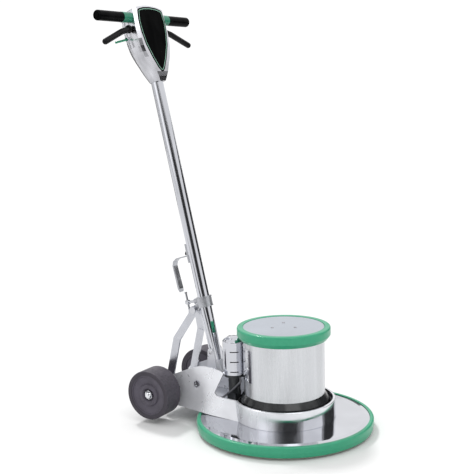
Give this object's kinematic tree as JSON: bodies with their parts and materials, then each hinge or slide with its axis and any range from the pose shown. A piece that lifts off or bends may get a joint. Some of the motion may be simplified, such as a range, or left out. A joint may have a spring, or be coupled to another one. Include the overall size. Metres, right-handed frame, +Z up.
{
  "type": "high speed floor burnisher",
  "caption": "Disc floor burnisher: a motor on a round polished base, a leaning tube handle with grips and switch levers, a sliding brace and two transport wheels.",
  "frame": {"origin": "on the disc's axis, at floor level", "axes": "+Z up, -Y the machine's front, +Y the operator's side, +X its right as the operator sees it"},
  "size_m": [0.5339, 0.8159, 1.2778],
  "materials": {
    "pad_fibre": "open non-woven fibre",
    "driver_block": "moulded, matt",
    "plain_steel": "machined",
    "rotor_steel": "laminated",
    "fan_plastic": "moulded",
    "polished_housing": "mirror polished",
    "polished_casting": "polished, slightly wavy",
    "green_vinyl": "smooth soft vinyl",
    "motor_skin": "bright plated sheet",
    "cap_skin": "bright, faint brushing",
    "bell_casting": "black enamel",
    "black_seal": "satin black",
    "copper": "varnished wire",
    "canister_chrome": "bright plated",
    "capacitor_can": "drawn can",
    "black_bracket": "black paint",
    "cable_jacket": "grey jacket",
    "bright_fastener": "bright plated",
    "grey_tyre": "smooth grey non-marking",
    "wheel_plastic": "moulded grey",
    "handle_chrome": "bright plated tube",
    "head_casting": "polished",
    "plate_gloss": "gloss black",
    "grip_black": "soft black",
    "rod_green": "moulded, smooth",
    "lever_black": "satin black",
    "collar_green": "smooth soft vinyl",
    "bar_steel": "drawn tube",
    "brace_chrome": "bright plated bar",
    "clamp_casting": "satin casting",
    "zinc_bright": "bright plated"
  },
  "bodies": {
    "chassis": {"base_bumper": "green_vinyl", "base_screws": "plain_steel", "pad_housing": "polished_housing", "chassis_casting": "polished_casting", "pivot_bolt": "bright_fastener", "pivot_nut": "bright_fastener", "lower_end_bell": "bell_casting", "motor_gasket": "black_seal", "motor_can": "motor_skin", "upper_end_bell": "bell_casting", "motor_cap": "cap_skin", "cap_screws": "bright_fastener", "cap_bumper": "green_vinyl", "stator_core": "rotor_steel", "stator_windings": "copper", "motor_bearings": "plain_steel", "capacitor_cover": "canister_chrome", "start_capacitor": "capacitor_can", "capacitor_bracket": "black_bracket", "motor_lead": "cable_jacket", "wheel_axle": "plain_steel", "axle_spacers": "zinc_bright", "axle_nuts": "bright_fastener"},
    "spindle": {"burnishing_pad": "pad_fibre", "pad_driver": "driver_block", "drive_hub": "plain_steel", "driver_screws": "plain_steel", "motor_shaft": "plain_steel", "rotor_core": "rotor_steel", "cooling_fan": "fan_plastic"},
    "left_wheel": {"left_tyre": "grey_tyre", "left_wheel_hub": "wheel_plastic"},
    "right_wheel": {"right_tyre": "grey_tyre", "right_wheel_hub": "wheel_plastic"},
    "handle": {"handle_yoke": "polished_casting", "yoke_screw": "bright_fastener", "cord_hook": "handle_chrome", "hook_buffer": "black_seal", "handle_tube": "handle_chrome", "nameplate": "plate_gloss", "control_housing": "head_casting", "rear_cover": "head_casting", "cover_screws": "plain_steel", "cord_gland": "black_seal", "grip_bar": "bar_steel", "left_grip": "grip_black", "left_grip_collar": "collar_green", "right_grip": "grip_black", "right_grip_collar": "collar_green", "lever_pins": "plain_steel", "power_switch": "lever_black", "interlock_bushing": "zinc_bright"},
    "left_lever": {"left_switch_lever": "lever_black"},
    "right_lever": {"right_switch_lever": "lever_black"},
    "interlock": {"interlock_lever": "rod_green"},
    "clamp": {"clamp_collar": "clamp_casting", "clamp_pin": "zinc_bright"},
    "clamp_screw": {"clamp_screw": "zinc_bright"},
    "brace": {"left_brace_bar": "brace_chrome", "right_brace_bar": "brace_chrome"}
  },
  "joints": [
    {"name": "spindle_spin", "type": "hinge", "parent": "chassis", "child": "spindle", "pos_m": [0, 0, 0], "axis": [0, 0, 1], "continuous": true},
    {"name": "left_wheel_spin", "type": "hinge", "parent": "chassis", "child": "left_wheel", "pos_m": [-0.136, 0.384, 0.092], "axis": [1, 0, 0], "continuous": true},
    {"name": "right_wheel_spin", "type": "hinge", "parent": "chassis", "child": "right_wheel", "pos_m": [0.136, 0.384, 0.092], "axis": [1, 0, 0], "continuous": true},
    {"name": "handle_tilt", "type": "hinge", "parent": "chassis", "child": "handle", "pos_m": [0, 0.262, 0.122], "axis": [-1, 0, 0], "range_deg": [-8, 25]},
    {"name": "collar_slide", "type": "slide", "parent": "handle", "child": "clamp", "axis": [0, 0.2215, 0.9751], "range_m": [-0.019, 0.0585]},
    {"name": "brace_swing", "type": "hinge", "parent": "chassis", "child": "brace", "pos_m": [0, 0.384, 0.092], "axis": [-1, 0, 0], "range_deg": [-8.7, 27]},
    {"name": "clamp_screw_turn", "type": "hinge", "parent": "clamp", "child": "clamp_screw", "pos_m": [0, 0.34691, 0.35323], "axis": [0, 0.9751, -0.2215], "range_deg": [0, 180]},
    {"name": "left_lever_squeeze", "type": "hinge", "parent": "handle", "child": "left_lever", "pos_m": [-0.062, 0.47122, 1.2028], "axis": [0, 0.9751, -0.2215], "range_deg": [0, 10], "stiffness_Nm_per_rad": 4, "springref_deg": -4.58},
    {"name": "right_lever_squeeze", "type": "hinge", "parent": "handle", "child": "right_lever", "pos_m": [0.062, 0.47122, 1.2028], "axis": [0, -0.9751, 0.2215], "range_deg": [0, 10], "stiffness_Nm_per_rad": 4, "springref_deg": -4.58},
    {"name": "interlock_swing", "type": "hinge", "parent": "handle", "child": "interlock", "pos_m": [-0.072, 0.49028, 1.17386], "axis": [0, 0.9751, -0.2215], "range_deg": [0, 10], "stiffness_Nm_per_rad": 0.5, "springref_deg": -5.73}
  ],
  "couplings": [
    {"joint": "collar_slide", "follows": "handle_tilt", "m_per_rad": 0.1329},
    {"joint": "brace_swing", "follows": "handle_tilt", "ratio": 1.078}
  ]
}
